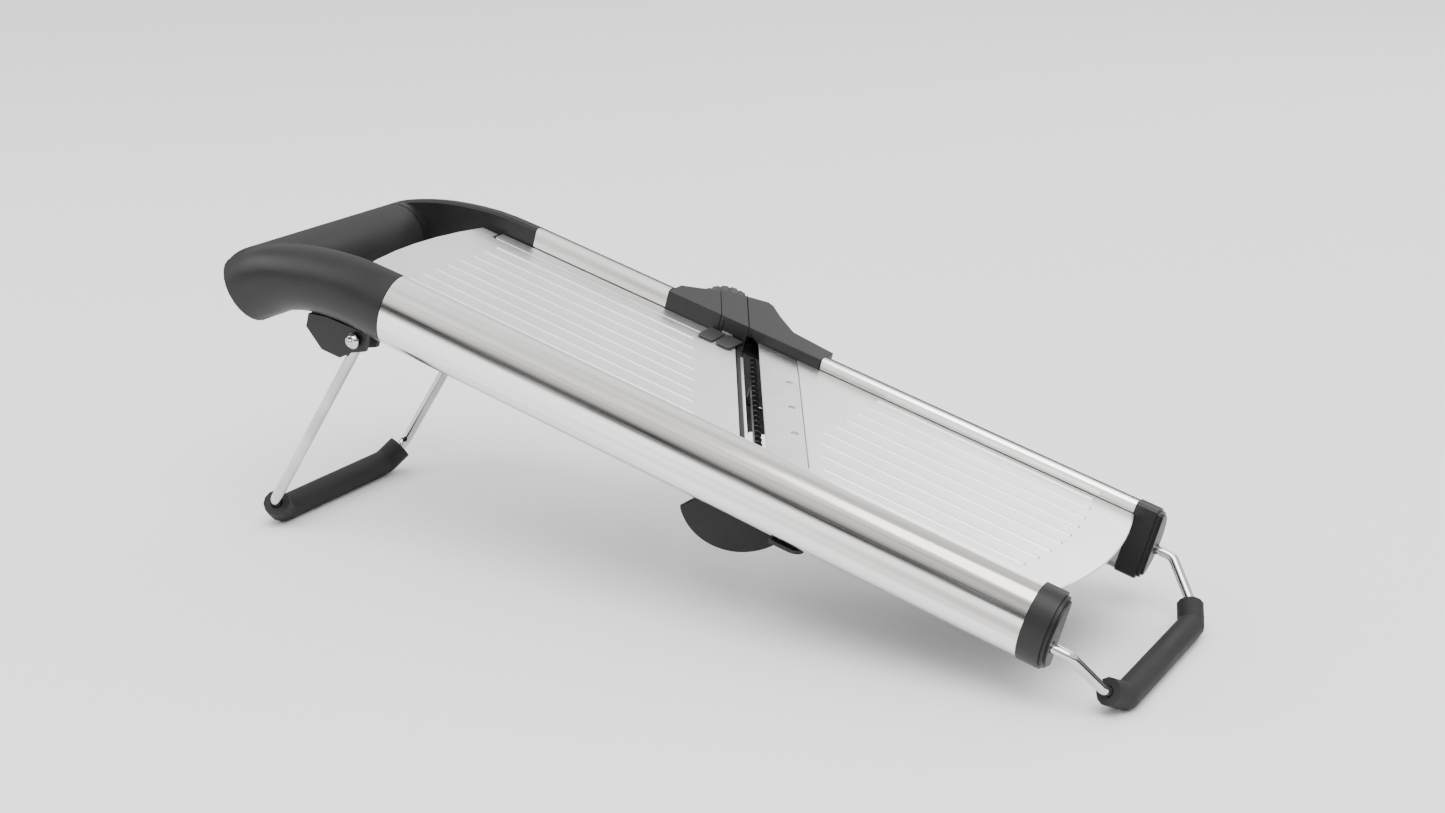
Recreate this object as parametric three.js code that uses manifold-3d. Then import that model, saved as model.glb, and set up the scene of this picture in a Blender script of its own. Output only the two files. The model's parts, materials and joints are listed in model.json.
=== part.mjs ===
// A mandoline slicer: two rails carry a fixed ribbed deck, a ribbed runway that a cam lowers,
// a diagonal blade that slides out, a julienne comb that turns away, and a folding rear leg.
// Millimetres, +Z up. The origin is on the ground, under the middle of the bounding box.
import * as THREE from 'three';
import { mergeVertices } from 'three/addons/utils/BufferGeometryUtils.js';
import Module from 'manifold-3d';

const wasm = await Module();
wasm.setup();

// ---------------------------------------------------------------- driving dimensions
const DEG = Math.PI / 180;
const GAP = 0.3;

// Deck frame: u runs from the handle to the foot, v to the far rail, w up from the deck.
const DECK_TILT = 15.4 * DEG;
const DECK_HEIGHT = 127.9;

// Slot frame, inside the deck frame: p crosses the slot, s runs along it, w is the same.
const SLOT_TURN = 31.4 * DEG;
const SLOT_AT = 147;

const RAIL = { start: 0.3, end: 299.7, wall: 48.5, core: 51, middle: -15, halfWide: 12, halfTall: 15.7, thick: 1.2 };
const RAIL_BREAK = { start: 72.5, end: 151.5 };
const TENON = 9;
const CAP_FRONT = 311.5;

const SHEET = 1.2;
const LANDING_TOP = -4.2;
const RUNWAY_TOP = -8;
const RUNWAY = { half: 39.7, wide: 45, ears: -17, rear: -25.5, farStep: 97.3, nearStep: 151 };
const LEDGE = { inner: 40.3, outer: 48.2, rear: -16, farEnd: 97, nearEnd: 150 };

const BLADE = { edge: 2.56, back: 19.2, thick: 1.5, reach: 47.4 };
const NOSE = { rear: -6.5, front: -3.2, near: -48, far: 52.5, top: -8.2, foot: -15.5 };
const LANDING_REAR = 19.5;

const DIAL = { p: -10, w: -17.2, radius: 16.5, near: 94.5, far: 102.5, shaft: 3 };
const CAM = { rest: 9.4, rise: 1.91, low: -2.83, high: 1.62, near: 70, far: 75 };
const FOLLOWER_GAP = 0.7;
const HOUSING = { inner: 47.9, foot: -32.5, step: -12, top: 0.4, seamRear: -14.6, seamFront: -2.5 };

const COMB = { w: -30.5, tip: 24, hub: 7.5, shaft: 3, teeth: 19, pitch: 4.7, half: 44 };
const BEARING = { inner: 35.2, outer: 37.4 };
const KNOB = { near: -40.3, far: -37.8, radius: 26, hub: 9, spread: 65 * DEG };

const LEG = { u: -16, w: -35.5, v: 47.9, wire: 2.4, foot: -84.8, sleeve: 6, chamfer: 10 };
const FOOT = { u: 302.5, w: -18.5, v: 57, knee: 319, wire: 2.1, foot: 317.9, half: 45.9, sleeve: 5.5, chamfer: 8 };

// ---------------------------------------------------------------- materials
function finish(color, roughness, metalness) {
  return new THREE.MeshStandardMaterial({ color, roughness, metalness });
}
const POLISHED = finish(0xd8d6d2, 0.15, 1);
const SATIN = finish(0xd5d6d8, 0.35, 1);
const CHROME = finish(0xe4e4e4, 0.08, 1);
const BLACK = finish(0x26272a, 0.5, 0);
const SOFT_BLACK = finish(0x303134, 0.75, 0);
const GRAY = finish(0x6d6f72, 0.5, 0);
const RUBBER = finish(0x1b1b1c, 0.85, 0);

// ---------------------------------------------------------------- solids
function solidOf(geometry) {
  const bare = geometry.clone();
  bare.deleteAttribute('normal');
  bare.deleteAttribute('uv');
  const merged = mergeVertices(bare, 1e-4);
  const vertProperties = new Float32Array(merged.attributes.position.array);
  const triVerts = new Uint32Array(merged.index.array);
  return new wasm.Manifold(new wasm.Mesh({ numProp: 3, vertProperties, triVerts }));
}

function geometryOf(solid) {
  const mesh = solid.getMesh();
  const geometry = new THREE.BufferGeometry();
  geometry.setAttribute('position', new THREE.BufferAttribute(mesh.vertProperties, 3));
  geometry.setIndex(new THREE.BufferAttribute(mesh.triVerts, 1));
  geometry.computeVertexNormals();
  return geometry;
}

function join(first, ...others) {
  return geometryOf(others.reduce((sum, other) => sum.add(solidOf(other)), solidOf(first)));
}

function cut(first, ...tools) {
  return geometryOf(tools.reduce((rest, tool) => rest.subtract(solidOf(tool)), solidOf(first)));
}

function common(first, second) {
  return geometryOf(solidOf(first).intersect(solidOf(second)));
}

function polygon(...corners) {
  return new THREE.Shape(corners.map(([x, y]) => new THREE.Vector2(x, y)));
}

// A prism on a shape in XY, from one height to another; inset draws its outline in.
function prismZ(shape, from, to, inset = 0) {
  const end = 0.5;
  const options = { depth: to - from, bevelEnabled: false, curveSegments: 6 };
  if (inset > 0) {
    Object.assign(options, { bevelEnabled: true, bevelThickness: end, bevelSize: 0 });
    Object.assign(options, { bevelOffset: -inset, bevelSegments: 1, depth: to - from - 2 * end });
  }
  return new THREE.ExtrudeGeometry(shape, options).translate(0, 0, from + (inset > 0 ? end : 0));
}

const AXIS_X = new THREE.Vector3(1, 0, 0);
const AXIS_Y = new THREE.Vector3(0, 1, 0);
const AXIS_Z = new THREE.Vector3(0, 0, 1);

// A prism along X on a shape drawn in (y, z).
function prismX(shape, from, to) {
  return prismZ(shape, from, to).applyMatrix4(new THREE.Matrix4().makeBasis(AXIS_Y, AXIS_Z, AXIS_X));
}

// A prism along Y on a shape drawn in (x, z).
function prismY(shape, from, to, inset = 0) {
  const turn = new THREE.Matrix4().makeBasis(AXIS_X, AXIS_Z, AXIS_Y.clone().negate());
  return prismZ(shape, -to, -from, inset).applyMatrix4(turn);
}

function block(x0, x1, y0, y1, z0, z1) {
  return new THREE.BoxGeometry(x1 - x0, y1 - y0, z1 - z0)
    .translate((x0 + x1) / 2, (y0 + y1) / 2, (z0 + z1) / 2);
}

// A round bar along Y through (x, z).
function barY(radius, x, z, y0, y1, sides = 24) {
  return new THREE.CylinderGeometry(radius, radius, y1 - y0, sides).translate(x, (y0 + y1) / 2, z);
}

function barZ(radius, x, y, z0, z1, sides = 16) {
  return new THREE.CylinderGeometry(radius, radius, z1 - z0, sides)
    .rotateX(Math.PI / 2).translate(x, y, (z0 + z1) / 2);
}

function place(parent, name, geometry, material) {
  const mesh = new THREE.Mesh(geometry, material);
  mesh.name = name;
  parent.add(mesh);
  return mesh;
}

// ---------------------------------------------------------------- frames
const slicer = new THREE.Group();
const deck = new THREE.Group();
deck.rotation.y = DECK_TILT;
deck.position.z = DECK_HEIGHT;
slicer.add(deck);
const slot = new THREE.Group();
slot.rotation.z = SLOT_TURN;
slot.position.x = SLOT_AT;
deck.add(slot);
slicer.updateMatrixWorld(true);

// The same geometry, told in the slot frame instead of the deck frame.
function deckInSlot(geometry) {
  return geometry.applyMatrix4(slot.matrix.clone().invert());
}

// The level (u, v) of a slot-frame line p, at a given v.
function slotU(p, v) {
  return SLOT_AT + p / Math.cos(SLOT_TURN) - v * Math.tan(SLOT_TURN);
}

function deckPoint(u, v, w) {
  return new THREE.Vector3(u, v, w).applyMatrix4(deck.matrix);
}

// ---------------------------------------------------------------- rails, ledges and end caps
// The rail's D section on the far (+1) or near (-1) side, grown or shrunk all round.
function railSection(side, grow = 0) {
  const wall = RAIL.wall - grow;
  const chamfer = Math.min(1, RAIL.core - wall - 0.2);
  const foot = RAIL.middle - RAIL.halfTall - grow;
  const crest = RAIL.middle + RAIL.halfTall + grow;
  const half = new THREE.Shape();
  half.moveTo(wall, foot + chamfer);
  half.lineTo(wall + chamfer, foot);
  half.lineTo(RAIL.core, foot);
  half.absellipse(RAIL.core, RAIL.middle, RAIL.halfWide + grow, RAIL.halfTall + grow, -Math.PI / 2, Math.PI / 2);
  half.lineTo(wall + chamfer, crest);
  half.lineTo(wall, crest - chamfer);
  const points = half.getPoints(9).map((point) => new THREE.Vector2(side * point.x, point.y));
  return new THREE.Shape(side > 0 ? points : points.reverse());
}

function rail(side, from, to) {
  const shape = railSection(side);
  shape.holes.push(new THREE.Path(railSection(side, -RAIL.thick).getPoints()));
  return prismX(shape, from, to);
}

// A strip with a flange that hangs against the rail.
function ledge(side, end, flangeEnd) {
  const flange = 10;
  const rounded = 3;
  const foot = RUNWAY_TOP - SHEET;
  const outer = Math.min(LEDGE.outer, HOUSING.inner - GAP);
  const plate = new THREE.Shape();
  plate.moveTo(end, side * LEDGE.inner);
  plate.lineTo(LEDGE.rear + rounded, side * LEDGE.inner);
  plate.quadraticCurveTo(LEDGE.rear, side * LEDGE.inner, LEDGE.rear, side * (LEDGE.inner + rounded));
  plate.lineTo(LEDGE.rear, side * outer);
  plate.lineTo(end, side * outer);
  const inside = side * (outer - SHEET);
  const outside = side * outer;
  const web = block(RAIL.start, flangeEnd, Math.min(inside, outside), Math.max(inside, outside), foot - flange, foot);
  return join(prismZ(plate, foot, RUNWAY_TOP), web);
}

function endCap(side) {
  const start = RAIL.end + GAP;
  const nose = 2.5;
  const grow = 0.4;
  const body = prismX(railSection(side, grow), start, CAP_FRONT - nose);
  const lip = prismX(railSection(side, grow - 1), CAP_FRONT - nose - 0.1, CAP_FRONT - 1);
  const tip = prismX(railSection(side, grow - 2.2), CAP_FRONT - 1.1, CAP_FRONT);
  const tenon = prismX(railSection(side, -RAIL.thick - 0.4), RAIL.end - TENON, start + 0.1);
  const bore = new THREE.CylinderGeometry(FOOT.wire + GAP, FOOT.wire + GAP, 14, 16)
    .rotateZ(Math.PI / 2).translate(FOOT.u - GAP + 7, side * FOOT.v, FOOT.w);
  return cut(join(body, lip, tip, tenon), bore);
}

place(deck, 'near_rail', rail(-1, RAIL.start, RAIL.end), POLISHED);
place(deck, 'far_rail_rear', rail(1, RAIL.start, RAIL_BREAK.start), POLISHED);
place(deck, 'far_rail_front', rail(1, RAIL_BREAK.end, RAIL.end), POLISHED);
place(deck, 'near_ledge', ledge(-1, LEDGE.nearEnd, LEDGE.nearEnd), SATIN);
place(deck, 'far_ledge', ledge(1, LEDGE.farEnd, RAIL_BREAK.start), SATIN);
place(deck, 'near_end_cap', endCap(-1), BLACK);
place(deck, 'far_end_cap', endCap(1), BLACK);

// ---------------------------------------------------------------- handle
const HANDLE = { opening: -53, corner: 16, grip: 43.7, skin: 2.6 };

function curveThrough(...points) {
  return new THREE.SplineCurve(points.map(([x, y]) => new THREE.Vector2(x, y)));
}

// The side view, as two curves that run back together: the top edge and the underside.
const HANDLE_TOP = curveThrough([0, 0.7], [-22, -0.1], [-45, -4.2], [-64, -10.2], [-78, -17], [-88.3, -26.8]);
const HANDLE_UNDER = curveThrough([0, -30.7], [-20, -29.9], [-38, -31.8], [-50, -36], [-59, -42], [-66, -47.8]);

// The D outline as pairs: distance from the middle plane, and height from 0 (under) to 1 (top).
function armOutline() {
  const turns = 12;
  const bulge = Array.from({ length: turns + 1 }, (_, k) => {
    const angle = Math.PI * (k / turns - 0.5);
    return [RAIL.core + RAIL.halfWide * Math.cos(angle), 0.5 + Math.sin(angle) / 2];
  });
  return [[RAIL.wall, 0.04], [RAIL.wall + 1, 0], ...bulge, [RAIL.wall + 1, 1], [RAIL.wall, 0.96]];
}

// One arm: the rail's D section, carried back between the two curves and growing with them.
function handleArm(side) {
  const stations = 14;
  const outline = armOutline();
  const count = outline.length;
  const positions = [];
  for (let i = 0; i <= stations; i += 1) {
    const top = HANDLE_TOP.getPoint(i / stations);
    const under = HANDLE_UNDER.getPoint(i / stations);
    outline.forEach(([v, rise]) => {
      const at = under.clone().lerp(top, rise);
      positions.push(at.x, side * v, at.y);
    });
  }
  const faces = [];
  const face = (a, b, c) => faces.push(...(side > 0 ? [a, b, c] : [a, c, b]));
  for (let i = 0; i < stations; i += 1) {
    for (let k = 0; k < count; k += 1) {
      const here = i * count + k;
      const next = i * count + ((k + 1) % count);
      face(here, here + count, next);
      face(next, here + count, next + count);
    }
  }
  const last = stations * count;
  for (let k = 1; k < count - 1; k += 1) {
    face(0, k, k + 1);
    face(last, last + k + 1, last + k);
  }
  const geometry = new THREE.BufferGeometry();
  geometry.setAttribute('position', new THREE.Float32BufferAttribute(positions, 3));
  geometry.setIndex(faces);
  return geometry;
}

// The crossbar's section: highest at the rear, and rolling down to its front foot.
function gripSection() {
  const shape = new THREE.Shape();
  shape.moveTo(-88.3, -26.8);
  shape.quadraticCurveTo(-84.5, -21, -77, -16.4);
  shape.bezierCurveTo(-68, -11.5, -56, -15, HANDLE.opening - GAP, -31);
  shape.lineTo(HANDLE.opening - GAP - 2, -35.5);
  shape.quadraticCurveTo(-58, -41.5, -66, -47.8);
  shape.lineTo(-71.5, -45.2);
  shape.lineTo(-86.5, -31.5);
  return new THREE.Shape(shape.getPoints(6));
}

function handleFrame() {
  const section = gripSection();
  const seat = HANDLE.grip + GAP;
  const shoulders = [-1, 1].map((side) => prismY(section, side > 0 ? seat : -52, side > 0 ? 52 : -seat));
  const core = prismY(section, -seat - 2, seat + 2, HANDLE.skin + GAP);
  const tenons = [-1, 1].map((side) => prismX(railSection(side, -RAIL.thick - 0.4), -4, TENON));
  return join(handleArm(1), handleArm(-1), ...shoulders, core, ...tenons);
}

function handleGrip() {
  const outer = prismY(gripSection(), -HANDLE.grip, HANDLE.grip);
  return cut(outer, prismY(gripSection(), -HANDLE.grip - 1, HANDLE.grip + 1, HANDLE.skin));
}

place(deck, 'handle_frame', handleFrame(), BLACK);
place(deck, 'handle_grip', handleGrip(), SOFT_BLACK);

// ---------------------------------------------------------------- leg bridge
// A floor between the arms and, on each side, two cheeks and the block that stops the leg.
function bridgeSide(side) {
  const between = (inner, outer) => [Math.min(side * inner, side * outer), Math.max(side * inner, side * outer)];
  const cheek = polygon([-42, -33.8], [-32, -31.5], [-10, -30.4], [-10, -38.5], [-17, -42], [-22, -46.6],
    [-32, -46.8], [-42, -40]);
  const stop = polygon([-42, -33.8], [-32, -31.5], [-20.6, -30.6], [-20.4, -38.5], [-22.8, -46.6], [-32, -46.8], [-42, -40]);
  const walls = join(prismY(cheek, ...between(42.8, 45)), prismY(cheek, ...between(50.7, 52.9)),
    prismY(stop, ...between(44.9, 50.8)));
  return cut(walls, barY(LEG.wire + GAP, LEG.u, LEG.w, ...between(49, 54), 16));
}

function legBridge() {
  const floor = block(-38, -6, -RAIL.wall + 0.4, RAIL.wall - 0.4, -31, -28.4);
  const screws = [-1, 1].map((side) => barZ(1.8, -14, side * 30, -32, -28, 12));
  return cut(join(floor, bridgeSide(-1), bridgeSide(1)), ...screws);
}

place(deck, 'leg_bridge', legBridge(), BLACK);
for (const [name, side] of [['near_bridge_screw', -1], ['far_bridge_screw', 1]]) {
  const screw = join(barZ(3, 0, 0, -28.1, -26.4, 12), barZ(1.5, 0, 0, -30.6, -28, 12));
  place(deck, name, screw, CHROME).position.set(-14, side * 30, 0);
}

// ---------------------------------------------------------------- landing deck and tray
const FRONT_ARC = 307.5;
const FRONT_RADIUS = 167;

// The level u of the deck's rounded front edge, moved back by some amount.
function frontEdge(v, back = 0) {
  return FRONT_ARC - back - FRONT_RADIUS + Math.sqrt(FRONT_RADIUS ** 2 - v ** 2);
}

function frontOutline(rear, half, back) {
  const steps = 12;
  const front = Array.from({ length: steps + 1 }, (_, i) => half - (2 * half * i) / steps);
  const corners = front.map((v) => [frontEdge(v, back), v]);
  return polygon([slotU(rear, -half), -half], [slotU(rear, half), half], ...corners);
}

const LANDING_RIBS = { count: 10, pitch: 9.8, width: 3, tall: 0.6, start: 182.8, frontBack: 18 };
const RUNWAY_RIBS = { count: 8, pitch: 9.1, width: 2.2, tall: 0.5, start: -8, end: 117 };

// Low bars with sloping sides, one per rib, from one level u to another.
function ribBar(v, from, to, width, tall, top) {
  const side = polygon([v - width / 2, top - 0.1], [v + width / 2, top - 0.1], [v + width / 4, top + tall],
    [v - width / 4, top + tall]);
  return prismX(side, from, to);
}

function landingDeck() {
  const half = RAIL.wall - 0.7;
  const plate = prismZ(frontOutline(LANDING_REAR, half, 0), LANDING_TOP - SHEET, LANDING_TOP);
  const { count, pitch, width, tall, start, frontBack } = LANDING_RIBS;
  const ribs = Array.from({ length: count }, (_, i) => {
    const v = (i - (count - 1) / 2) * pitch;
    const rearLimit = slotU(LANDING_REAR + 6, v);
    return ribBar(v, Math.max(start, rearLimit), frontEdge(v, frontBack), width, tall, LANDING_TOP);
  });
  return join(plate, ...ribs);
}

const TRAY = { rear: 27, top: -5.7, foot: -10, rim: 3, back: 4 };

function landingTray() {
  const half = RAIL.wall - 0.7;
  const body = prismZ(frontOutline(TRAY.rear, half, TRAY.back), TRAY.foot, TRAY.top);
  const pockets = [[180, 228], [231, 262], [265, 290]].map(([from, to]) => {
    const area = common(
      prismZ(frontOutline(TRAY.rear + TRAY.rim, half - TRAY.rim, TRAY.back + TRAY.rim), TRAY.foot - 1, TRAY.top - 1.6),
      block(from - (from === 180 ? 60 : 0), to, -60, 60, -20, 0),
    );
    return area;
  });
  return cut(body, ...pockets);
}

place(deck, 'landing_deck', landingDeck(), SATIN);
place(deck, 'landing_tray', landingTray(), BLACK);

// ---------------------------------------------------------------- far housing, dial cover
// The block's plan between the two lengths of the far rail.
function housingPlan() {
  const start = RAIL_BREAK.start + GAP;
  const end = RAIL_BREAK.end - GAP;
  return polygon([start, HOUSING.inner], [start, 58.8], [80.4, 65.7], [87.3, 73.1], [97.1, 78.1], [105.9, 81.6],
    [109.4, 80.1], [117.3, 72.5], [129.4, 62.9], [end, 60], [end, HOUSING.inner]);
}

function housingSlab(from, to, inset = 0) {
  return deckInSlot(prismZ(housingPlan(), from, to, inset));
}

// The arm's way through the inner wall, and the round pocket for the cam.
function armWindow() {
  return block(-13.1, -4.2, 50, 68, -18.2, -6.2);
}

function camPocket() {
  return barY(13.6, DIAL.p, DIAL.w, CAM.near - 0.7, CAM.far + 1, 28);
}

function farHousing() {
  const base = housingSlab(HOUSING.foot, HOUSING.step);
  const rear = common(housingSlab(HOUSING.step - 0.1, HOUSING.top), block(-120, HOUSING.seamRear - GAP / 2, 0, 140, -40, 10));
  const riser = block(-13.1, -4.2, 61, CAM.far + 1, -18.2, 5);
  const shaft = barY(DIAL.shaft + GAP, DIAL.p, DIAL.w, CAM.far, 100, 20);
  const riserInBase = common(riser, block(-20, 0, 50, 90, -19, HOUSING.step + 1));
  return cut(join(base, rear), camPocket(), armWindow(), riserInBase, shaft);
}

function dialCover() {
  const body = common(housingSlab(HOUSING.step + GAP, HOUSING.top),
    block(HOUSING.seamRear + GAP / 2, HOUSING.seamFront - GAP / 2, 0, 140, -40, 10));
  const pocket = block(-13.1, -4.2, 64, CAM.far + 1, HOUSING.step, -1.5);
  return cut(body, pocket, camPocket(), armWindow());
}

place(slot, 'far_housing', farHousing(), BLACK);
place(slot, 'dial_cover', dialCover(), BLACK);

// ---------------------------------------------------------------- blade cartridge
// What lies between the rails, told in the slot frame.
function betweenRails(reach, w0, w1) {
  return deckInSlot(block(0, 300, -reach, reach, w0, w1));
}

function bladePlate() {
  const top = LANDING_TOP;
  const foot = top - BLADE.thick;
  const section = polygon([BLADE.edge, top - 0.25], [BLADE.edge + 0.7, top], [BLADE.back, top], [BLADE.back, foot],
    [BLADE.edge + 4, foot]);
  const holes = [-24, 0, 24].map((s) => barZ(1.5, 15, s - 5, -12, 0, 12));
  return cut(common(prismY(section, -90, 90), betweenRails(BLADE.reach, -20, 0)), ...holes);
}

const HOLDER = { rear: 11.1, front: 18.8, foot: -8 };

function bladeHolder() {
  const top = LANDING_TOP - BLADE.thick - GAP;
  const bar = common(block(HOLDER.rear, HOLDER.front, -90, 90, HOLDER.foot, top), betweenRails(BLADE.reach, -20, 0));
  const holes = [-24, 0, 24].map((s) => barZ(1.5, 15, s - 5, -12, 0, 12));
  return cut(bar, ...holes);
}

function bladeHandle() {
  const body = common(housingSlab(HOUSING.step + GAP, HOUSING.top), block(HOUSING.seamFront + GAP / 2, 60, 0, 140, -40, 10));
  const dialWay = barY(DIAL.radius + 0.7, DIAL.p, DIAL.w, 0, 140, 32);
  return cut(body, dialWay);
}

place(slot, 'blade_plate', bladePlate(), POLISHED);
place(slot, 'blade_holder', bladeHolder(), BLACK);
place(slot, 'blade_handle', bladeHandle(), BLACK);
for (const [index, s] of [-24, 0, 24].entries()) {
  place(slot, `blade_rivet_${index + 1}`, barZ(1.2, 0, 0, HOLDER.foot, LANDING_TOP - 0.1, 12), CHROME)
    .position.set(15, s - 5, 0);
}

// ---------------------------------------------------------------- blade bed
const BED = { rear: 20.6, front: 26.5, foot: -15.5, top: -5.7 };

// The bearing plate's outline in (p, w): a boss round the shaft, an arm and a post under the deck.
function bearingPlate() {
  const shape = polygon([-7.5, -38], [BED.front, -38], [BED.front, BED.top], [BED.rear, BED.top], [BED.rear, -27],
    [8, -27], [5, -22.8], [-5, -22.8], [-7.5, -26]);
  shape.holes.push(new THREE.Path().absarc(0, COMB.w, 5.3, 0, 2 * Math.PI, true));
  return shape;
}

function bladeBed() {
  const beam = common(block(BED.rear, BED.front, -90, 90, BED.foot, BED.top), betweenRails(RAIL.wall - 0.9, -40, 0));
  const plates = [-1, 1].map((side) => prismY(bearingPlate(),
    side > 0 ? BEARING.inner : -BEARING.outer, side > 0 ? BEARING.outer : -BEARING.inner));
  const wall = RAIL.wall - GAP;
  const under = RAIL.middle - RAIL.halfTall - GAP;
  const drop = deckInSlot(block(200, 205.5, -wall, -46.4, under - 1.6, BED.top));
  return join(beam, ...plates, drop, deckInSlot(flangePlate(under)));
}

// The plate under the near rail, with a rounded front end.
function flangePlate(top) {
  const shape = new THREE.Shape();
  shape.moveTo(192, -46.4);
  shape.lineTo(192, -56);
  shape.lineTo(201, -56);
  shape.absarc(201, -51.2, 4.8, -Math.PI / 2, Math.PI / 2);
  return prismZ(shape, top - 1.6, top);
}

place(slot, 'blade_bed', bladeBed(), BLACK);

// A bush is a tube with a collar, from the bearing plate's inner side.
function bush(side) {
  const tube = barY(5, 0, COMB.w, BEARING.inner + 0.1, BEARING.outer + 0.2, 20);
  const hole = barY(COMB.shaft + GAP, 0, COMB.w, 30, 40, 20);
  const ring = cut(tube, hole);
  return side > 0 ? ring : ring.rotateZ(Math.PI);
}
place(slot, 'near_comb_bush', bush(-1), GRAY);
place(slot, 'far_comb_bush', bush(1), GRAY);

// ---------------------------------------------------------------- julienne comb
// A strip with pointed teeth on its upper edge, on an arm over each hub.
function julienneComb() {
  const thick = [0.9, 2.4];
  const root = COMB.w + 18;
  const strip = block(...thick, -COMB.half, COMB.half, COMB.w + 14.5, root);
  const arms = [-1, 1].map((side) => {
    const middle = side * (BEARING.inner - 3.4);
    return block(...thick, middle - 2, middle + 2, COMB.w + COMB.hub + GAP, root);
  });
  const teeth = Array.from({ length: COMB.teeth }, (_, i) => {
    const s = (i - (COMB.teeth - 1) / 2) * COMB.pitch;
    const side = polygon([-0.7, COMB.w + 23.5], [0.5, COMB.w + COMB.tip - 0.3], [2.4, COMB.w + 22.5], [2.4, root - 1],
      [0.9, root - 1]);
    return prismY(side, s - 0.5, s + 0.5);
  });
  return join(strip, ...arms, ...teeth);
}

// A short barrel on the shaft, beside each bearing.
function combHub(side) {
  const ends = [side * (BEARING.inner - 6.2), side * (BEARING.inner - GAP)].sort((a, b) => a - b);
  return cut(barY(COMB.hub, 0, COMB.w, ...ends, 20), barY(COMB.shaft + GAP, 0, COMB.w, -50, 50, 16));
}

// The knob: a broad sector that hangs below the shaft, on a small round boss.
function combKnob() {
  const shape = new THREE.Shape();
  const start = -Math.PI / 2 - KNOB.spread;
  shape.absarc(0, 0, KNOB.radius, start, -Math.PI / 2 + KNOB.spread);
  shape.absarc(0, 0, KNOB.hub, 25 * DEG, 155 * DEG);
  const bore = barY(COMB.shaft + GAP, 0, 0, -50, 0, 16);
  const disc = prismY(new THREE.Shape(shape.getPoints(18)), KNOB.near, KNOB.far);
  return cut(disc, bore);
}

place(slot, 'julienne_comb', julienneComb(), BLACK);
place(slot, 'near_comb_hub', combHub(-1), GRAY);
place(slot, 'far_comb_hub', combHub(1), GRAY);
place(slot, 'comb_knob', combKnob(), SOFT_BLACK).position.set(0, 0, COMB.w);
place(slot, 'comb_shaft', barY(COMB.shaft, 0, 0, KNOB.near + 0.4, BEARING.outer + 2, 16), CHROME).position.set(0, 0, COMB.w);
place(slot, 'comb_knob_screw', barY(5, 0, 0, KNOB.near - 1.6, KNOB.near - 0.3, 20), CHROME).position.set(0, 0, COMB.w);

// ---------------------------------------------------------------- runway
// The plate's plan: ears at the rear, narrow between the ledges, wide again before the slot.
function runwayPlan() {
  const { half, wide, ears, rear, farStep, nearStep } = RUNWAY;
  const front = NOSE.rear - GAP;
  const bow = 5;
  const shape = new THREE.Shape();
  shape.moveTo(rear, wide);
  shape.quadraticCurveTo(rear - 2 * bow, 0, rear, -wide);
  shape.lineTo(ears, -wide);
  shape.lineTo(ears, -half);
  shape.lineTo(nearStep, -half);
  shape.lineTo(nearStep, -wide);
  shape.lineTo(slotU(front, -wide), -wide);
  shape.lineTo(slotU(front, wide), wide);
  shape.lineTo(farStep, wide);
  shape.lineTo(farStep, half);
  shape.lineTo(ears, half);
  shape.lineTo(ears, wide);
  return shape;
}

function runwayPlate() {
  const plate = prismZ(runwayPlan(), RUNWAY_TOP - SHEET, RUNWAY_TOP);
  const { count, pitch, width, tall, start, end } = RUNWAY_RIBS;
  const ribs = Array.from({ length: count }, (_, i) => {
    const v = (i - (count - 1) / 2) * pitch;
    return ribBar(v, start, end - v * Math.tan(SLOT_TURN), width, tall, RUNWAY_TOP);
  });
  return join(plate, ...ribs);
}

// A shallow frame under the plate, with two cross members.
function runwayFrame() {
  const half = 38.5;
  const front = -9.6;
  const rim = 2.4;
  const outline = (inset) => polygon([-8 + inset, -half + inset], [slotU(front - inset, -half + inset), -half + inset],
    [slotU(front - inset, half - inset), half - inset], [-8 + inset, half - inset]);
  const top = RUNWAY_TOP - SHEET - GAP;
  const foot = -13;
  const body = prismZ(outline(0), foot, top);
  const openings = [[-20, 30], [32.5, 68], [70.5, 160]].map(([from, to]) =>
    common(prismZ(outline(rim), foot - 1, top + 1), block(from, to, -60, 60, -20, 0)));
  return cut(body, ...openings);
}

function liftArm() {
  const p0 = -12.6;
  const p1 = -7.4;
  const follower = DIAL.w + CAM.rest + FOLLOWER_GAP;
  const arm = block(p0, p1, 54.5, 69.2, -12.2, RUNWAY_TOP - SHEET - GAP);
  const riser = block(p0, p1, 66.8, 69.2, -12.2, follower + 2);
  const plate = block(p0, p1, 66.8, 75.4, follower, follower + 2);
  return join(arm, riser, plate);
}

function roundedTab(u0, u1, v0, v1, radius) {
  const shape = new THREE.Shape();
  shape.moveTo(u0, v1);
  shape.lineTo(u0, v0 + radius);
  shape.quadraticCurveTo(u0, v0, u0 + radius, v0);
  shape.lineTo(u1 - radius, v0);
  shape.quadraticCurveTo(u1, v0, u1, v0 + radius);
  shape.lineTo(u1, v1);
  return prismZ(shape, RUNWAY_TOP + GAP, RUNWAY_TOP + 1.3);
}

place(deck, 'runway_plate', runwayPlate(), SATIN);
place(deck, 'runway_frame', runwayFrame(), BLACK);
place(slot, 'runway_nose', block(NOSE.rear, NOSE.front, NOSE.near, NOSE.far, NOSE.foot, NOSE.top), BLACK);
place(slot, 'lift_arm', liftArm(), SATIN);
place(deck, 'lift_arm_cap', roundedTab(106, 114.2, 35.6, 47.3, 2.5), GRAY);
place(deck, 'guide_shoe', roundedTab(97.4, 105.2, 35.6, 47.3, 1.2), GRAY);

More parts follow.
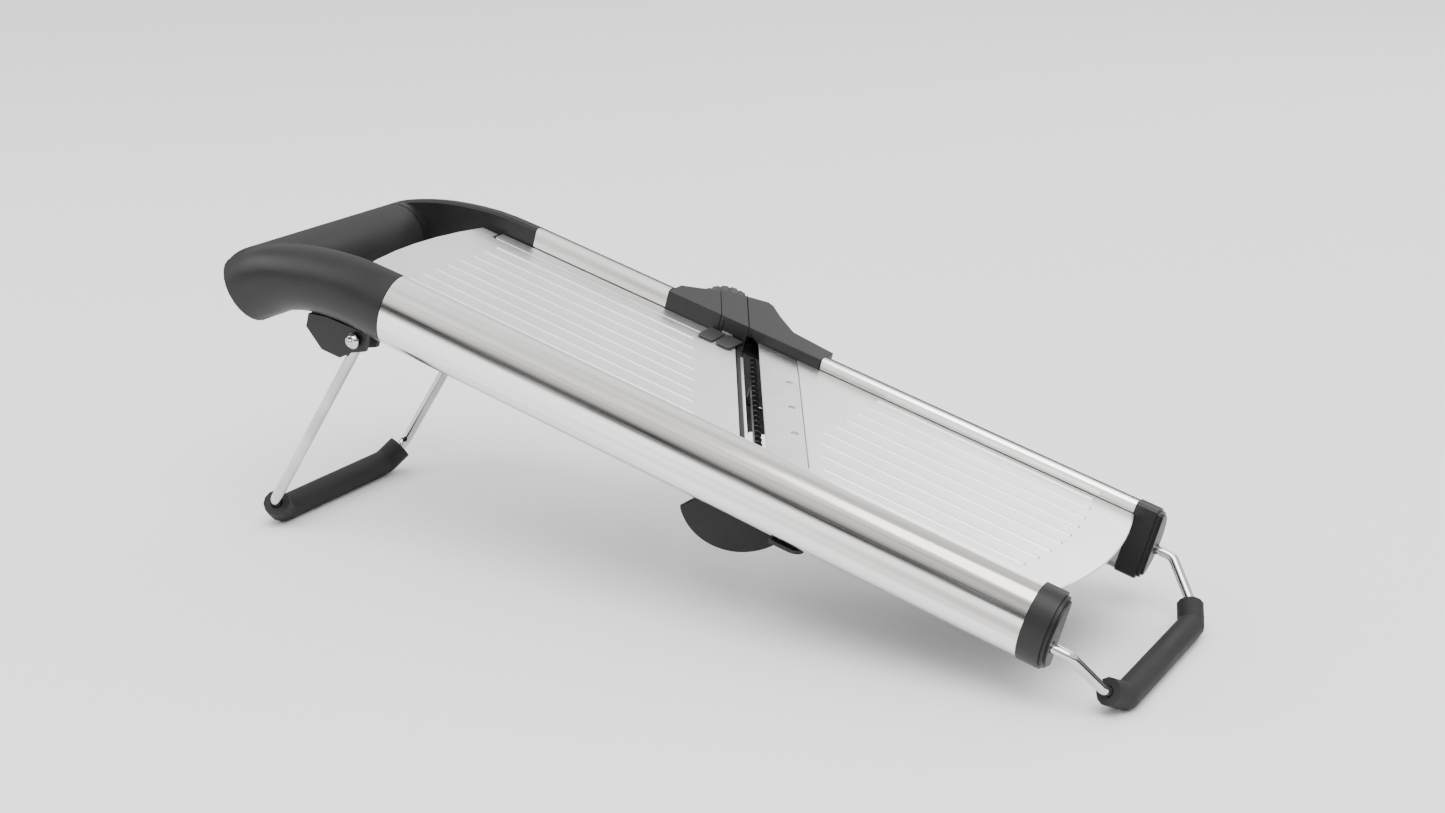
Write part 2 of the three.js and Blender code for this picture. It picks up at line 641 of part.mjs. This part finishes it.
// ---------------------------------------------------------------- thickness dial
// The cam's radius grows evenly with its angle; it stands at its rest radius at the top.
function camOutline() {
  const steps = 32;
  const relief = 8 * DEG;
  const rim = Array.from({ length: steps + 1 }, (_, i) => {
    const turn = CAM.high + ((CAM.low - CAM.high) * i) / steps;
    const radius = CAM.rest + CAM.rise * turn;
    return new THREE.Vector2(radius, 0).rotateAround(new THREE.Vector2(), Math.PI / 2 - turn);
  });
  const low = CAM.rest + CAM.rise * CAM.low;
  const shape = new THREE.Shape(rim);
  shape.absarc(0, 0, low, Math.PI / 2 - CAM.low, 2.5 * Math.PI - CAM.high - relief);
  return new THREE.Shape(shape.getPoints(8));
}

function dialWheel() {
  const { radius, near, far, shaft } = DIAL;
  const body = barY(radius - 2.4, 0, 0, near + 0.4, far - 0.4, 40);
  return cut(body, barY(shaft + GAP, 0, 0, 90, far - 3, 20), barY(7, 0, 0, far - 1.8, far + 1, 28));
}

// A rubber-like ring round the wheel, with shallow grooves for the fingers.
function dialGripRing() {
  const { radius, near, far } = DIAL;
  const grooves = 24;
  const rings = cut(barY(radius, 0, 0, near, far, 48), barY(radius - 2.1, 0, 0, near - 1, far + 1, 40));
  const tools = Array.from({ length: grooves }, (_, i) => {
    const angle = (2 * Math.PI * i) / grooves;
    return barY(0.9, (radius + 0.25) * Math.cos(angle), (radius + 0.25) * Math.sin(angle), near - 1, far + 1, 6);
  });
  return cut(rings, ...tools);
}

// The cam's bore is cut in its own frame.
function liftCam() {
  const body = prismY(camOutline(), CAM.near, CAM.far);
  return cut(body, barY(DIAL.shaft + GAP, 0, 0, 60, 90, 16));
}

function atDial(name, geometry, material) {
  place(slot, name, geometry, material).position.set(DIAL.p, 0, DIAL.w);
}
atDial('dial_wheel', dialWheel(), GRAY);
atDial('dial_grip_ring', dialGripRing(), GRAY);
atDial('dial_cap', barY(6.6, 0, 0, DIAL.far - 1.4, DIAL.far - 0.2, 28), GRAY);
atDial('dial_shaft', barY(DIAL.shaft, 0, 0, CAM.near - 0.3, DIAL.far - 3.4, 20), CHROME);
atDial('lift_cam', liftCam(), GRAY);

// ---------------------------------------------------------------- bent wires
// A wire's centre line: straight runs, with each corner rounded. Only the ends of the
// straight runs and the points of the round corners are stations of the sweep.
class BentWire extends THREE.Curve {
  constructor(corners, bends, startNormal) {
    super();
    this.startNormal = startNormal;
    this.stations = [corners[0]];
    for (let i = 1; i < corners.length - 1; i += 1) {
      this.stations.push(...BentWire.corner(corners[i - 1], corners[i], corners[i + 1], bends[i - 1]));
    }
    this.stations.push(corners[corners.length - 1]);
  }

  static corner(before, at, after, radius) {
    const back = before.clone().sub(at).normalize();
    const ahead = after.clone().sub(at).normalize();
    const setback = radius / Math.tan(back.angleTo(ahead) / 2);
    const start = at.clone().addScaledVector(back, setback);
    const end = at.clone().addScaledVector(ahead, setback);
    return new THREE.QuadraticBezierCurve3(start, at, end).getPoints(5);
  }

  getSpacedPoints() {
    return this.stations;
  }

  // Frames that are carried along the wire without twisting it.
  computeFrenetFrames(steps) {
    const tangents = this.stations.map((station, i) => {
      const ahead = this.stations[Math.min(i + 1, steps)];
      const behind = this.stations[Math.max(i - 1, 0)];
      return ahead.clone().sub(station).normalize().add(station.clone().sub(behind).normalize()).normalize();
    });
    const start = tangents[0];
    let normal = this.startNormal.clone().addScaledVector(start, -this.startNormal.dot(start)).normalize();
    const normals = tangents.map((tangent, i) => {
      const turn = new THREE.Quaternion().setFromUnitVectors(tangents[Math.max(i - 1, 0)], tangent);
      normal = normal.clone().applyQuaternion(turn);
      return normal;
    });
    const binormals = tangents.map((tangent, i) => new THREE.Vector3().crossVectors(tangent, normals[i]));
    return { tangents, normals, binormals };
  }
}

// A regular polygon with the middle of one side on +x, as a shape or a hole.
function ring(Kind, radius, sides) {
  const points = Array.from({ length: sides }, (_, i) => {
    const angle = ((i + 0.5) * 2 * Math.PI) / sides;
    return new THREE.Vector2(radius * Math.cos(angle), radius * Math.sin(angle));
  });
  return new Kind(points);
}

function sweep(shape, path) {
  return new THREE.ExtrudeGeometry(shape, { steps: path.stations.length - 1, extrudePath: path });
}

const SLEEVE_SIDES = 12;

// The height at which a sleeve's centre runs, so that one of its flats lies on the ground.
function sleeveHeight(radius) {
  return radius * Math.cos(Math.PI / SLEEVE_SIDES);
}

// A foot's two lower corners are cut off, so each is a pair of half bends.
function footCorners(upright, corner, inside, chamfer) {
  return [corner.clone().add(upright.clone().sub(corner).setLength(chamfer)),
    corner.clone().add(inside.clone().sub(corner).setLength(chamfer))];
}

// The sleeve covers the straight run and the slanted stretch at each end of it.
function footSleeve(slantNear, runNear, runFar, slantFar, sizes) {
  const { bend, radius, wire, short } = sizes;
  const inward = (end, run) => end.clone().add(run.clone().sub(end).setLength(short));
  const start = inward(slantNear, runNear);
  const entry = runNear.clone().sub(start).normalize();
  const run = runFar.clone().sub(runNear).normalize();
  const down = new THREE.Vector3(0, 0, -1);
  const startNormal = down.applyQuaternion(new THREE.Quaternion().setFromUnitVectors(run, entry));
  const path = new BentWire([start, runNear, runFar, inward(slantFar, runFar)], [bend, bend], startNormal);
  const shape = ring(THREE.Shape, radius, SLEEVE_SIDES);
  shape.holes.push(ring(THREE.Path, wire + GAP, 8));
  return sweep(shape, path);
}

// A wire foot and its sleeve, from the points of its far half; the near half mirrors them.
function wireFoot(name, wireName, farPoints, sizes) {
  const mirror = (point) => point.clone().multiply(new THREE.Vector3(1, -1, 1));
  const corner = farPoints[farPoints.length - 1];
  const [slant, run] = footCorners(farPoints[farPoints.length - 2], corner, mirror(corner), sizes.chamfer);
  const half = [...farPoints.slice(0, -1), slant, run];
  const bends = [...sizes.upper, sizes.bend, sizes.bend];
  const corners = [...half.map(mirror), ...half.slice().reverse()];
  const path = new BentWire(corners, [...bends, ...bends.slice().reverse()], sizes.normal);
  place(slicer, wireName, sweep(ring(THREE.Shape, sizes.wire, 8), path), CHROME);
  place(slicer, name, footSleeve(mirror(slant), mirror(run), run, slant, sizes), RUBBER);
}

// ---------------------------------------------------------------- rear leg
function rearLeg() {
  const stub = 54;
  const pivot = (side, v) => deckPoint(LEG.u, side * v, LEG.w);
  const foot = new THREE.Vector3(LEG.foot, LEG.v, sleeveHeight(LEG.sleeve));
  wireFoot('rear_foot_sleeve', 'rear_leg_wire', [pivot(1, stub), pivot(1, LEG.v), foot], {
    wire: LEG.wire, radius: LEG.sleeve, chamfer: LEG.chamfer, bend: 7, upper: [3], short: 3.5,
    normal: new THREE.Vector3(1, 0, 0),
  });
  for (const [name, side] of [['near_pivot_cap', -1], ['far_pivot_cap', 1]]) {
    const dome = [[0, 0], [3.4, 0], [3.4, 0.9], [2.4, 2], [0, 2.5]].map(([x, y]) => new THREE.Vector2(x, y));
    const mesh = place(slicer, name, new THREE.LatheGeometry(dome, 16), CHROME);
    mesh.position.copy(pivot(side, stub + GAP));
    mesh.rotation.z = side > 0 ? 0 : Math.PI;
  }
}
rearLeg();

// ---------------------------------------------------------------- front foot
function frontFoot() {
  const seat = deckPoint(FOOT.u, FOOT.v, FOOT.w);
  const knee = deckPoint(FOOT.knee, FOOT.v, FOOT.w);
  const foot = new THREE.Vector3(FOOT.foot, FOOT.half, sleeveHeight(FOOT.sleeve));
  wireFoot('front_foot_sleeve', 'front_foot_wire', [seat, knee, foot], {
    wire: FOOT.wire, radius: FOOT.sleeve, chamfer: FOOT.chamfer, bend: 5.5, upper: [6], short: 2.5,
    normal: new THREE.Vector3(0, 1, 0),
  });
}
frontFoot();

// ---------------------------------------------------------------- origin
// The model stands with its box's middle over the origin.
const part = new THREE.Group();
part.add(slicer);
slicer.updateMatrixWorld(true);
const middle = new THREE.Box3().setFromObject(slicer, true).getCenter(new THREE.Vector3());
slicer.position.set(-middle.x, -middle.y, 0);

export default part;
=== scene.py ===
# %% [markdown]
# # A mandoline slicer, dressed for its portrait
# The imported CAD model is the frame: every rail, wire and plate already stands where it belongs,
# and every body already moves. This notebook gives each piece its real edges, its real finish and
# the small things that a plain CAD solid lacks. All lengths are in metres, +Z is up.

# %% Load the frame
import json
import math

import bpy
from mathutils import Euler, Matrix, Vector

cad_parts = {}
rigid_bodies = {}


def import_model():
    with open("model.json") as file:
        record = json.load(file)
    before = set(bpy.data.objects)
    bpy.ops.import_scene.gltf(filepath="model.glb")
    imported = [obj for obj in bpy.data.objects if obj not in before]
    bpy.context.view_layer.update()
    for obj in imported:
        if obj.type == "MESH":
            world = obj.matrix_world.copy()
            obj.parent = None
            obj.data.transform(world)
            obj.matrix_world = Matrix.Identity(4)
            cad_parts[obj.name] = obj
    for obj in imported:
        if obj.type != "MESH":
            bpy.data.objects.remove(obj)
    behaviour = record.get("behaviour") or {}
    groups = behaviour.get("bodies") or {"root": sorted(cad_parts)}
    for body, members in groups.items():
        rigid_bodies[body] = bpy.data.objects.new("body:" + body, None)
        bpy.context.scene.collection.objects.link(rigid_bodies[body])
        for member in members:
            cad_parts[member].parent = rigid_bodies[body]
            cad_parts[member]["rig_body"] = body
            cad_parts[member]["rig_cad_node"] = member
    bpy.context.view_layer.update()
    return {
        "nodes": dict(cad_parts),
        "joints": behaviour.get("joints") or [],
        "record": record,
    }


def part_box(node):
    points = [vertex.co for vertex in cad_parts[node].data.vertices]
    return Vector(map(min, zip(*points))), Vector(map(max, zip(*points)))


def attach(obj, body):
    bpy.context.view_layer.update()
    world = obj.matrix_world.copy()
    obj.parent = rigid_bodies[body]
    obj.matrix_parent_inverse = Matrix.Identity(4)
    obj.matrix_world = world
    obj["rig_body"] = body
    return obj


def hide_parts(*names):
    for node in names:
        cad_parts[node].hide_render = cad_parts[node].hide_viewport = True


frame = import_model()
nodes = frame["nodes"]
body_of = {node: body for body, members in frame["record"]["behaviour"]["bodies"].items() for node in members}
slot_of = {part["node"]: part["material_slot"] for part in frame["record"]["subparts"]}

# %% [markdown]
# ## The deck's own axes
# The two decks slope down towards the foot. Patterns such as brushing and drawing marks run along
# the deck, not along the ground, so the slope is worked out once from the joints: the runway slides
# straight into the deck, and the dial turns about the line of the slot.

# %% Directions of the deck and of the slot
joint = {item["name"]: item for item in frame["joints"]}
deck_up = -Vector(joint["runway_drop"]["axis"])
along_slot = Vector(joint["thickness_dial"]["axis"])
deck_tilt = math.atan2(deck_up.x, deck_up.z)
along_deck = Vector((deck_up.z, 0, -deck_up.x))
across_slot = along_slot.cross(deck_up)
slot_turn = math.atan2(across_slot.y, across_slot.dot(along_deck))
print("deck slopes by", round(math.degrees(deck_tilt), 1), "degrees")
print("slot is turned by", round(math.degrees(slot_turn), 1), "degrees")

# %% [markdown]
# ## Studio
# The tool stands on a white sweep. The light is broad and soft: a large key above, a fill from the
# left, and a bright sky. A darker band round the horizon gives the polished rails something to
# mirror, as a dark studio wall would, and that draws long streaks on them; further streaks are
# painted reflection in the rails' base colour.

# %% Floor
def deselect():
    if bpy.context.object and bpy.context.object.mode != "OBJECT":
        bpy.ops.object.mode_set(mode="OBJECT")
    bpy.ops.object.select_all(action="DESELECT")


deselect()
bpy.ops.mesh.primitive_plane_add(size=16, location=(0, 0, 0))
floor = bpy.context.object
floor.name = "floor"
floor_finish = bpy.data.materials.new("white_sweep")
floor_finish.use_nodes = True
floor_shader = floor_finish.node_tree.nodes["Principled BSDF"]
floor_shader.inputs["Base Color"].default_value = (0.95, 0.95, 0.95, 1)
floor_shader.inputs["Roughness"].default_value = 1.0
floor_shader.inputs["Specular IOR Level"].default_value = 0.0
floor.data.materials.append(floor_finish)

# %% Sky with a darker horizon
world = bpy.data.worlds.new("studio")
bpy.context.scene.world = world
world.use_nodes = True
sky = world.node_tree
direction = sky.nodes.new("ShaderNodeTexCoord")
split = sky.nodes.new("ShaderNodeSeparateXYZ")
bands = sky.nodes.new("ShaderNodeValToRGB")
sky.links.new(direction.outputs["Generated"], split.inputs[0])
sky.links.new(split.outputs["Z"], bands.inputs[0])
sky.links.new(bands.outputs["Color"], sky.nodes["Background"].inputs["Color"])
bands.color_ramp.elements[0].position = 0.0
bands.color_ramp.elements[0].color = (0.25, 0.25, 0.26, 1)
bands.color_ramp.elements[1].position = 1.0
bands.color_ramp.elements[1].color = (1.0, 1.0, 1.0, 1)
SKY_BANDS = ((0.08, 0.03), (0.20, 0.05), (0.30, 0.40), (0.38, 1.0), (0.52, 1.0), (0.60, 0.55), (0.70, 1.0))
for height, level in SKY_BANDS:
    bands.color_ramp.elements.new(height).color = (level, level * 0.995, level * 0.98, 1)
sky.nodes["Background"].inputs["Strength"].default_value = 1.5

# %% Lamps
def lamp(name, location, size, power):
    data = bpy.data.lights.new(name, "AREA")
    data.shape = "DISK"
    data.size = size
    data.energy = power
    lamp_object = bpy.data.objects.new(name, data)
    bpy.context.scene.collection.objects.link(lamp_object)
    lamp_object.location = location
    lamp_object.rotation_euler = (-Vector(location)).to_track_quat("-Z", "Y").to_euler()


lamp("key", (0.6, -0.9, 1.9), 1.6, 42)
lamp("fill", (-1.5, -1.0, 1.0), 1.2, 13)
lamp("rim", (0.3, 1.6, 1.2), 1.2, 9)

# %% Camera
camera_data = bpy.data.cameras.new("camera")
camera_data.lens = 55.7
camera_data.sensor_width = 36.0
camera = bpy.data.objects.new("camera", camera_data)
bpy.context.scene.collection.objects.link(camera)
camera.location = (0.4463, -0.7839, 0.3585)
camera.rotation_euler = Euler((math.pi / 2 - 0.3076, 0, 0.5162))
bpy.context.scene.camera = camera
print("studio ready")

# %% [markdown]
# ## Finishes
# Every finish is a small node tree on one Principled shader: a pattern that runs in the deck's own
# directions drives colour, roughness and a little bump. One helper turns the coordinates into the
# deck, and one lays a noise over them; each finish then only says how big its grain is.

# %% Pattern helpers
def finish(name, metallic=0.0, **fixed):
    material = bpy.data.materials.new(name)
    material.use_nodes = True
    shader = material.node_tree.nodes["Principled BSDF"]
    shader.inputs["Metallic"].default_value = metallic
    for socket, value in fixed.items():
        shader.inputs[socket.replace("_", " ")].default_value = value
    return material, shader


def grain(material, size, detail=3.0, roughness=0.5, turn=0.0):
    """A noise whose grains have a size (along, across, up) in metres, in the deck's directions."""
    tree = material.node_tree
    place = tree.nodes.new("ShaderNodeTexCoord")
    mapping = tree.nodes.new("ShaderNodeMapping")
    noise = tree.nodes.new("ShaderNodeTexNoise")
    mapping.vector_type = "TEXTURE"
    deck_turn = Matrix.Rotation(deck_tilt, 3, "Y") @ Matrix.Rotation(turn, 3, "Z")
    mapping.inputs["Rotation"].default_value = deck_turn.to_euler()
    mapping.inputs["Scale"].default_value = size
    noise.inputs["Scale"].default_value = 1.0
    noise.inputs["Detail"].default_value = detail
    noise.inputs["Roughness"].default_value = roughness
    tree.links.new(place.outputs["Object"], mapping.inputs["Vector"])
    tree.links.new(mapping.outputs["Vector"], noise.inputs["Vector"])
    return noise.outputs["Fac"]


def ramp(material, value, stops):
    """Colours along a pattern; each stop is (position, (r, g, b))."""
    tree = material.node_tree
    node = tree.nodes.new("ShaderNodeValToRGB")
    node.color_ramp.elements[0].position, node.color_ramp.elements[0].color = stops[0][0], (*stops[0][1], 1)
    node.color_ramp.elements[1].position, node.color_ramp.elements[1].color = stops[-1][0], (*stops[-1][1], 1)
    for position, color in stops[1:-1]:
        node.color_ramp.elements.new(position).color = (*color, 1)
    tree.links.new(value, node.inputs["Fac"])
    return node.outputs["Color"]


def spread(material, value, low, high):
    """A pattern stretched to run from low to high."""
    tree = material.node_tree
    node = tree.nodes.new("ShaderNodeMapRange")
    node.inputs["From Min"].default_value = 0.3
    node.inputs["From Max"].default_value = 0.7
    node.inputs["To Min"].default_value = low
    node.inputs["To Max"].default_value = high
    tree.links.new(value, node.inputs["Value"])
    return node.outputs["Result"]


def bump(material, shader, value, strength, depth):
    tree = material.node_tree
    node = tree.nodes.new("ShaderNodeBump")
    node.inputs["Strength"].default_value = strength
    node.inputs["Distance"].default_value = depth
    tree.links.new(value, node.inputs["Height"])
    tree.links.new(node.outputs["Normal"], shader.inputs["Normal"])


def gray(level, warm=0.0):
    return (level * (1 + warm), level, level * (1 - warm))


def clouded(material, shader, pattern, dark, light):
    """Base colour drifts between two grays."""
    color = ramp(material, pattern, [(0.35, gray(dark)), (0.65, gray(light))])
    material.node_tree.links.new(color, shader.inputs["Base Color"])


# %% [markdown]
# ### Steel
# The rails are drawn and polished with hairlines on top; their broad bright and dull bands are painted
# reflection.
# The decks are satin sheet with short brushing marks. The blade is ground across its edge.

# %% Polished rail steel
def polished_steel():
    material, shader = finish("polished_steel", metallic=1.0)
    tree = material.node_tree
    # Painted reflection: broad dark, beige and bright bands of mirrored surroundings, painted into the base
    # colour along the rail.
    painted_reflection_bands = grain(material, (0.6, 0.011, 0.0055), detail=1.5)
    hairs = grain(material, (0.05, 0.00035, 0.00035), detail=4.0)
    stops = [(0.34, gray(0.46, 0.045)), (0.45, gray(0.74, 0.02)),
             (0.55, gray(0.93, 0.004)), (0.68, gray(0.98))]
    tree.links.new(ramp(material, painted_reflection_bands, stops), shader.inputs["Base Color"])
    tree.links.new(spread(material, hairs, 0.09, 0.24), shader.inputs["Roughness"])
    bump(material, shader, hairs, 0.10, 0.00004)
    return material


# %% Satin sheet and ground blade
def satin_steel():
    material, shader = finish("satin_steel", metallic=1.0)
    tree = material.node_tree
    marks = grain(material, (0.012, 0.0003, 0.0003), detail=5.0)
    clouds = grain(material, (0.09, 0.05, 0.05), detail=2.0)
    clouded(material, shader, clouds, 0.88, 0.95)
    tree.links.new(spread(material, marks, 0.30, 0.46), shader.inputs["Roughness"])
    bump(material, shader, marks, 0.12, 0.00005)
    return material


def blade_steel():
    material, shader = finish("blade_steel", metallic=1.0)
    tree = material.node_tree
    marks = grain(material, (0.014, 0.00022, 0.00022), detail=5.0, turn=slot_turn)
    clouds = grain(material, (0.03, 0.06, 0.03), detail=2.0)
    clouded(material, shader, clouds, 0.76, 0.88)
    tree.links.new(spread(material, marks, 0.20, 0.36), shader.inputs["Roughness"])
    bump(material, shader, marks, 0.14, 0.00005)
    return material


def chrome_wire():
    material, shader = finish("chrome_wire", metallic=1.0)
    tree = material.node_tree
    film = grain(material, (0.02, 0.02, 0.02), detail=3.0)
    clouded(material, shader, film, 0.50, 0.66)
    tree.links.new(spread(material, film, 0.05, 0.14), shader.inputs["Roughness"])
    bump(material, shader, grain(material, (0.0015, 0.0015, 0.0015)), 0.05, 0.00003)
    return material


# %% [markdown]
# ### Plastics and rubber
# Moulded charcoal plastic has a very fine spark-eroded texture and a broad, soft sheen. The grip is
# duller and slightly lighter. Rubber is duller still, with dust in its pores.

# %% Moulded plastics
def moulded(name, low, high, rough, grain_size, strength):
    material, shader = finish(name, IOR=1.5, Specular_IOR_Level=0.32)
    tree = material.node_tree
    clouds = grain(material, (0.03, 0.03, 0.03), detail=3.0)
    pores = grain(material, (grain_size, grain_size, grain_size), detail=4.0, roughness=0.6)
    clouded(material, shader, clouds, low, high)
    tree.links.new(spread(material, clouds, rough[0], rough[1]), shader.inputs["Roughness"])
    bump(material, shader, pores, strength, 0.00006)
    return material


FINISHES = {
    "polished_steel": polished_steel(),
    "satin_steel": satin_steel(),
    "blade_steel": blade_steel(),
    "chrome_wire": chrome_wire(),
    "black_plastic": moulded("black_plastic", 0.009, 0.014, (0.38, 0.48), 0.0005, 0.18),
    "soft_grip": moulded("soft_grip", 0.013, 0.019, (0.55, 0.66), 0.0004, 0.30),
    "gray_plastic": moulded("gray_plastic", 0.030, 0.045, (0.38, 0.48), 0.0005, 0.18),
    "matte_black": moulded("matte_black", 0.013, 0.019, (0.60, 0.72), 0.0004, 0.25),
    "black_rubber": moulded("black_rubber", 0.012, 0.020, (0.62, 0.78), 0.0006, 0.35),
}
print(len(FINISHES), "finishes")

# %% [markdown]
# ## Real edges
# A CAD solid has knife-sharp edges and flat facets. Sheet metal, mouldings and wires don't: each
# edge is rounded by the tool that made it. A piece starts as a merged copy of its CAD solid, flat
# neighbours are joined into whole faces, and the edges are rolled over by a bevel. The weighted
# normals then keep the big faces flat and put the whole turn of the light into the rounding.

# %% Start a piece from its CAD solid
MERGE = 0.00001


def copy_of(node, name):
    deselect()
    piece = nodes[node].copy()
    piece.data = nodes[node].data.copy()
    piece.name = name
    piece.data.name = name
    piece.parent = None
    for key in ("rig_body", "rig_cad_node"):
        if key in piece:
            del piece[key]
    bpy.context.scene.collection.objects.link(piece)
    piece.select_set(True)
    bpy.context.view_layer.objects.active = piece
    bpy.ops.object.mode_set(mode="EDIT")
    bpy.ops.mesh.select_all(action="SELECT")
    bpy.ops.mesh.remove_doubles(threshold=MERGE)
    bpy.ops.mesh.dissolve_limited(angle_limit=math.radians(0.5))
    bpy.ops.object.mode_set(mode="OBJECT")
    return piece


def apply(piece, kind, **settings):
    modifier = piece.modifiers.new(kind.lower(), kind)
    for key, value in settings.items():
        setattr(modifier, key, value)
    bpy.context.view_layer.objects.active = piece
    bpy.ops.object.modifier_apply(modifier=modifier.name)


def smooth(piece, angle=40):
    deselect()
    piece.select_set(True)
    bpy.context.view_layer.objects.active = piece
    bpy.ops.object.shade_smooth_by_angle(angle=math.radians(angle))


def dress(piece, node, slot=None):
    """The piece takes the node's place, its body and its finish."""
    slot = slot or slot_of[node]
    piece.data.materials.clear()
    piece.data.materials.append(FINISHES[slot])
    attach(piece, body_of[node])
    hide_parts(node)


def edged(node, width, segments=2):
    piece = copy_of(node, node + "_finished")
    apply(piece, "BEVEL", width=width, segments=segments, limit_method="ANGLE", angle_limit=math.radians(32))
    smooth(piece)
    apply(piece, "WEIGHTED_NORMAL", keep_sharp=True)
    dress(piece, node)
    return piece


# %% Roll every edge by what made it
EDGES = {
    "near_rail": 0.0002, "far_rail_rear": 0.0002, "far_rail_front": 0.0002,
    "near_ledge": 0.0003, "far_ledge": 0.0003, "landing_deck": 0.0004, "runway_plate": 0.0003,
    "near_end_cap": 0.0006, "far_end_cap": 0.0006, "handle_frame": 0.0005, "handle_grip": 0.0005,
    "leg_bridge": 0.0006, "landing_tray": 0.0004, "far_housing": 0.0012, "dial_cover": 0.0008,
    "blade_plate": 0.00012, "blade_holder": 0.0003, "blade_handle": 0.0010, "blade_bed": 0.0003,
    "julienne_comb": 0.00008, "near_comb_hub": 0.0003, "far_comb_hub": 0.0003,
    "comb_knob": 0.0006, "runway_frame": 0.0003,
    "runway_nose": 0.0008, "lift_arm": 0.0002, "lift_arm_cap": 0.0003, "guide_shoe": 0.0003,
    "dial_wheel": 0.0005, "dial_grip_ring": 0.0004, "dial_cap": 0.0005, "lift_cam": 0.0002,
    "near_comb_bush": 0.0002, "far_comb_bush": 0.0002, "comb_shaft": 0.0003, "comb_knob_screw": 0.0004,
    "near_bridge_screw": 0.0003, "far_bridge_screw": 0.0003, "dial_shaft": 0.0003,
    "blade_rivet_1": 0.0002, "blade_rivet_2": 0.0002, "blade_rivet_3": 0.0002,
    "near_pivot_cap": 0.0002, "far_pivot_cap": 0.0002,
}
for edge_node, edge_width in EDGES.items():
    edged(edge_node, edge_width)
print(len(EDGES), "pieces with real edges")

# %% [markdown]
# ## Wires and sleeves
# A wire is truly round, so a subdivision surface suits it: it turns the CAD solid's eight flats into
# a circle. It also draws the surface in a little, so the flats are pushed out first by just as much.

# %% Round wires and rubber sleeves
def rounded_bar(node, sides, radius):
    piece = copy_of(node, node + "_finished")
    pull = radius * (1 - (2 + math.cos(2 * math.pi / sides)) / 3)
    bpy.ops.object.mode_set(mode="EDIT")
    bpy.ops.mesh.select_all(action="SELECT")
    bpy.ops.transform.shrink_fatten(value=pull)
    bpy.ops.object.mode_set(mode="OBJECT")
    apply(piece, "SUBSURF", levels=2, render_levels=2)
    smooth(piece, 60)
    dress(piece, node)
    return piece


rounded_bar("rear_leg_wire", 8, 0.0024)
rounded_bar("front_foot_wire", 8, 0.0021)
for sleeve_node in ("rear_foot_sleeve", "front_foot_sleeve"):
    edged(sleeve_node, 0.0007, 3)
print("wires and sleeves")

# %% [markdown]
# ## Small fittings
# Some pieces are too small for the CAD solids. A bright strip closes the edge of the runway's nose,
# each screw has a cross of matte black bars as painted shade for its driver's recess, the dial's cap
# carries a fine ring, and a washer and a ball finish each hinge of the leg. Each is made from a
# primitive at the origin and then moved into its place.

# %% Fittings made from primitives
comb_axis = Vector(joint["comb_turn"]["pos_m"])
comb_depth = 0.0305  # how far the comb's axis lies below the deck's surface


def in_slot(across, along, up):
    """A point told from the slot: across it, along it, and up from the deck's surface."""
    return comb_axis + across_slot * across + along_slot * along + deck_up * (up + comb_depth)


def outermost(node, axis):
    """The middle of the node's face that looks along the axis."""
    low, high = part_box(node)
    middle = (Vector(low) + Vector(high)) / 2
    mesh = nodes[node]
    reach = max((mesh.matrix_world @ vertex.co - middle).dot(axis) for vertex in mesh.data.vertices)
    return middle + axis * reach


def fitting(name, location, axes, node, slot):
    """The active primitive is turned to three axes, moved, and given a body and a finish."""
    piece = bpy.context.object
    piece.name = name
    piece.matrix_world = Matrix.Translation(location) @ Matrix(axes).transposed().to_4x4()
    deselect()
    piece.select_set(True)
    bpy.context.view_layer.objects.active = piece
    bpy.ops.object.transform_apply(location=True, rotation=True, scale=True)
    smooth(piece)
    piece.data.materials.append(FINISHES[slot])
    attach(piece, body_of[node])
    return piece


def cube(x, y, z):
    deselect()
    bpy.ops.mesh.primitive_cube_add(size=1)
    bpy.context.object.scale = (x, y, z)
    bpy.ops.object.transform_apply(location=False, rotation=False, scale=True)
    apply(bpy.context.object, "BEVEL", width=min(x, y, z) / 4, segments=2)


def ring(radius, thickness):
    """A fine torus about the Z axis."""
    bpy.ops.mesh.primitive_torus_add(
        major_radius=radius, minor_radius=thickness, major_segments=48, minor_segments=10)


def upright(axis):
    """Three axes whose last one is the given axis."""
    side = axis.orthogonal().normalized()
    return side, axis.cross(side), axis


# %% Screw crosses of painted shade, dial ring and hinge balls
SCREWS = {"near_bridge_screw": deck_up, "far_bridge_screw": deck_up, "comb_knob_screw": -along_slot}
for screw_node, out in SCREWS.items():
    face = outermost(screw_node, out)
    sideways, across, _ = upright(out)
    # Each cross is two matte black bars laid on the head: painted shade standing in for the driver's recess,
    # which is not cut.
    for arm, axes in (("a", (sideways, across, out)), ("b", (across, -sideways, out))):
        cube(0.0034, 0.0007, 0.0003)
        fitting(screw_node + "_painted_shade_cross_" + arm, face, axes, screw_node, "matte_black")

cube(0.0012, 0.084, 0.0008)
slot_axes = (across_slot, along_slot, deck_up)
fitting("nose_strip", in_slot(-0.0042, 0.001, -0.0082), slot_axes, "runway_nose", "satin_steel")

dial_face = outermost("dial_cap", along_slot)
deselect()
ring(0.0034, 0.00028)
fitting("dial_cap_ring", dial_face, upright(along_slot), "dial_cap", "chrome_wire")

for cap_node, out in (("near_pivot_cap", Vector((0, -1, 0))), ("far_pivot_cap", Vector((0, 1, 0)))):
    cap_face = outermost(cap_node, out)
    deselect()
    bpy.ops.mesh.primitive_uv_sphere_add(radius=0.0018, segments=32, ring_count=16)
    fitting(cap_node + "_ball", cap_face - out * 0.0010, upright(out), cap_node, "chrome_wire")
    deselect()
    ring(0.0031, 0.0004)
    fitting(cap_node + "_washer", cap_face - out * 0.0020, upright(out), cap_node, "chrome_wire")
print("fittings added")
